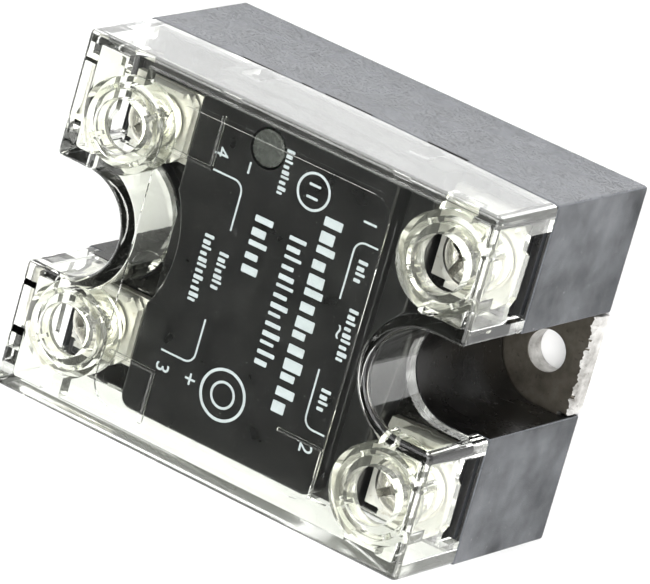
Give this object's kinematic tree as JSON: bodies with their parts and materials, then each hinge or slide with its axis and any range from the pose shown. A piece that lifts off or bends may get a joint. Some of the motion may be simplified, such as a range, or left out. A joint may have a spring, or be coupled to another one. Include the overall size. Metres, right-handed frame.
{
  "type": "solid state relay",
  "caption": "Panel-mount solid state relay: black potted housing on a metal base plate, notched at both ends for mounting screws, with screw terminals under a clear clip-on cover.",
  "frame": {"origin": "centre of the underside of the base plate", "axes": "+X along the length from the input terminals to the output terminals, +Y towards the status light, +Z out of the panel towards the clear cover"},
  "size_m": [0.0582, 0.0448, 0.0328],
  "materials": {
    "black_plastic": "moulded, lightly scuffed",
    "clear_plastic": "clear polycarbonate with a faint yellow-green tint",
    "frosted_plastic": "translucent grey light pipe",
    "red_plastic": "tinted lamp body",
    "aluminium": "bare plate with a sheared edge",
    "nickel": "bright nickel plating",
    "steel": "zinc-bright steel",
    "copper": "bare copper",
    "alumina": "fired white ceramic tile",
    "silicon": "polished dark die",
    "fibreglass": "green solder mask",
    "capacitor_case": "moulded box case",
    "resistor_body": "lacquered film resistor",
    "resin": "black casting resin"
  },
  "bodies": {
    "relay_base": {"housing": "black_plastic", "optocoupler": "black_plastic", "status_lens": "frosted_plastic", "status_led": "red_plastic", "base_plate": "aluminium", "terminal_lug_1": "nickel", "terminal_lug_2": "nickel", "terminal_lug_3": "nickel", "terminal_lug_4": "nickel", "captive_nut_1": "steel", "captive_nut_2": "steel", "captive_nut_3": "steel", "captive_nut_4": "steel", "die_strap_a": "copper", "die_strap_b": "copper", "gate_pin_a": "copper", "gate_pin_b": "copper", "ceramic_substrate": "alumina", "thyristor_die_a": "silicon", "thyristor_die_b": "silicon", "control_board": "fibreglass", "snubber_capacitor": "capacitor_case", "snubber_resistor": "resistor_body", "input_resistor": "resistor_body", "potting_compound": "resin"},
    "cover": {"clear_cover": "clear_plastic"},
    "clamp_1": {"clamp_plate_1": "nickel"},
    "screw_1": {"terminal_screw_1": "nickel"},
    "clamp_2": {"clamp_plate_2": "nickel"},
    "screw_2": {"terminal_screw_2": "nickel"},
    "clamp_3": {"clamp_plate_3": "nickel"},
    "screw_3": {"terminal_screw_3": "nickel"},
    "clamp_4": {"clamp_plate_4": "nickel"},
    "screw_4": {"terminal_screw_4": "nickel"}
  },
  "joints": [
    {"name": "cover_lift", "type": "slide", "parent": "relay_base", "child": "cover", "axis": [0, 0, 1], "range_m": [0, 0.02]},
    {"name": "clamp_lift_1", "type": "slide", "parent": "relay_base", "child": "clamp_1", "axis": [0, 0, 1], "range_m": [0, 0.0028]},
    {"name": "screw_turn_1", "type": "hinge", "parent": "clamp_1", "child": "screw_1", "pos_m": [0.0229, 0.0143, 0.0252], "axis": [0, 0, 1], "range_deg": [0, 1440]},
    {"name": "clamp_lift_2", "type": "slide", "parent": "relay_base", "child": "clamp_2", "axis": [0, 0, 1], "range_m": [0, 0.0028]},
    {"name": "screw_turn_2", "type": "hinge", "parent": "clamp_2", "child": "screw_2", "pos_m": [0.0229, -0.0143, 0.0252], "axis": [0, 0, 1], "range_deg": [0, 1440]},
    {"name": "clamp_lift_3", "type": "slide", "parent": "relay_base", "child": "clamp_3", "axis": [0, 0, 1], "range_m": [0, 0.0024]},
    {"name": "screw_turn_3", "type": "hinge", "parent": "clamp_3", "child": "screw_3", "pos_m": [-0.022, -0.0128, 0.0252], "axis": [0, 0, 1], "range_deg": [0, 1440]},
    {"name": "clamp_lift_4", "type": "slide", "parent": "relay_base", "child": "clamp_4", "axis": [0, 0, 1], "range_m": [0, 0.0024]},
    {"name": "screw_turn_4", "type": "hinge", "parent": "clamp_4", "child": "screw_4", "pos_m": [-0.022, 0.0128, 0.0252], "axis": [0, 0, 1], "range_deg": [0, 1440]}
  ],
  "couplings": [
    {"joint": "screw_turn_1", "follows": "clamp_lift_1", "rad_per_m": 8976},
    {"joint": "screw_turn_2", "follows": "clamp_lift_2", "rad_per_m": 8976},
    {"joint": "screw_turn_3", "follows": "clamp_lift_3", "rad_per_m": 10472},
    {"joint": "screw_turn_4", "follows": "clamp_lift_4", "rad_per_m": 10472}
  ]
}
